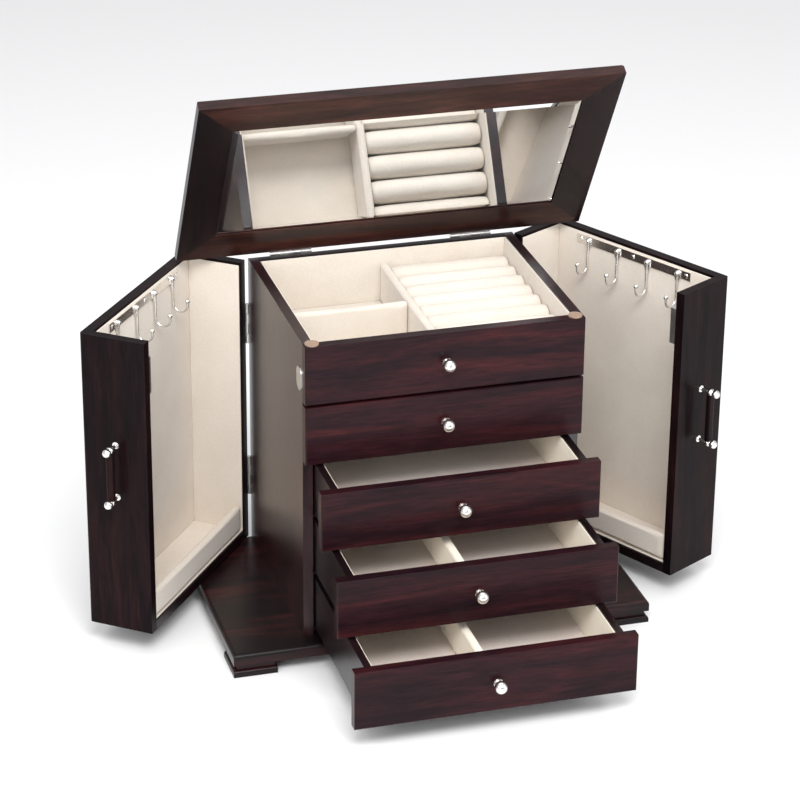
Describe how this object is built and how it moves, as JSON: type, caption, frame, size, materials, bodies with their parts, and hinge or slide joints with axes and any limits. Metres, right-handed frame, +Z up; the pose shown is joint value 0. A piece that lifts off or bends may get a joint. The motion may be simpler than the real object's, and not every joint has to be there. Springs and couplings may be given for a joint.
{
  "type": "jewelry box",
  "caption": "Standing jewelry cabinet in dark wood with pull-out drawers, a lined ring tray under a mirror lid, and two side doors with necklace hooks.",
  "frame": {"origin": "centre of the footprint of the box as it stands open, on the plane of the soles of its feet", "axes": "+Z up; the drawer faces look along -Y; +X to the right as seen from the front, along the long side of the lid"},
  "size_m": [0.5849, 0.4224, 0.4961],
  "materials": {
    "rosewood": "satin lacquer over a dark red-brown grain",
    "dark_wood": "satin lacquer over a near-black brown grain",
    "cream_velvet": "soft short-pile lining",
    "nickel": "polished nickel plate",
    "steel": "plated steel",
    "mirror": "silvered flat glass",
    "felt": "tan felt"
  },
  "bodies": {
    "cabinet": {"base_slab": "dark_wood", "feet": "dark_wood", "left_side_panel": "rosewood", "right_side_panel": "rosewood", "rear_panel": "dark_wood", "false_front": "rosewood", "false_front_knob": "nickel", "tray_board": "dark_wood", "tray_insert": "cream_velvet", "ring_rolls": "cream_velvet", "drawer_runners": "dark_wood", "bumpers": "felt", "strike_plates": "steel", "cabinet_hinge_leaves": "steel", "hinge_pins": "steel"},
    "lid": {"lid_rails": "rosewood", "lid_stiles": "dark_wood", "lid_panel": "rosewood", "mirror_glass": "mirror", "lid_hinge_leaves": "steel"},
    "left_door": {"left_door_panel": "rosewood", "left_door_front": "dark_wood", "left_door_rear": "dark_wood", "left_door_bottom": "dark_wood", "left_door_lining": "cream_velvet", "left_hook_rail": "nickel", "left_hooks": "nickel", "left_rail_screws": "nickel", "left_handle_bar": "dark_wood", "left_handle_posts": "nickel", "left_catch": "steel", "left_door_hinge_leaves": "steel"},
    "right_door": {"right_door_panel": "rosewood", "right_door_front": "dark_wood", "right_door_rear": "dark_wood", "right_door_bottom": "dark_wood", "right_door_lining": "cream_velvet", "right_hook_rail": "nickel", "right_hooks": "nickel", "right_rail_screws": "nickel", "right_handle_bar": "dark_wood", "right_handle_posts": "nickel", "right_catch": "steel", "right_door_hinge_leaves": "steel"},
    "drawer_1": {"drawer_1_front": "rosewood", "drawer_1_box": "dark_wood", "drawer_1_lining": "cream_velvet", "drawer_1_knob": "nickel"},
    "drawer_2": {"drawer_2_front": "rosewood", "drawer_2_box": "dark_wood", "drawer_2_lining": "cream_velvet", "drawer_2_knob": "nickel"},
    "drawer_3": {"drawer_3_front": "rosewood", "drawer_3_box": "dark_wood", "drawer_3_lining": "cream_velvet", "drawer_3_knob": "nickel"},
    "drawer_4": {"drawer_4_front": "rosewood", "drawer_4_box": "dark_wood", "drawer_4_lining": "cream_velvet", "drawer_4_knob": "nickel"}
  },
  "joints": [
    {"name": "lid_hinge", "type": "hinge", "parent": "cabinet", "child": "lid", "pos_m": [0.01075, 0.17401, 0.3079], "axis": [-1, 0, 0], "range_deg": [-59, 36]},
    {"name": "left_door_hinge", "type": "hinge", "parent": "cabinet", "child": "left_door", "pos_m": [-0.11615, 0.17401, 0.1535], "axis": [0, 0, -1], "range_deg": [-38, 72]},
    {"name": "right_door_hinge", "type": "hinge", "parent": "cabinet", "child": "right_door", "pos_m": [0.13765, 0.17401, 0.1535], "axis": [0, 0, 1], "range_deg": [-29, 81]},
    {"name": "drawer_1_slide", "type": "slide", "parent": "cabinet", "child": "drawer_1", "axis": [0, -1, 0], "range_m": [0, 0.165]},
    {"name": "drawer_2_slide", "type": "slide", "parent": "cabinet", "child": "drawer_2", "axis": [0, -1, 0], "range_m": [-0.053, 0.112]},
    {"name": "drawer_3_slide", "type": "slide", "parent": "cabinet", "child": "drawer_3", "axis": [0, -1, 0], "range_m": [-0.105, 0.06]},
    {"name": "drawer_4_slide", "type": "slide", "parent": "cabinet", "child": "drawer_4", "axis": [0, -1, 0], "range_m": [-0.161, 0.004]}
  ]
}
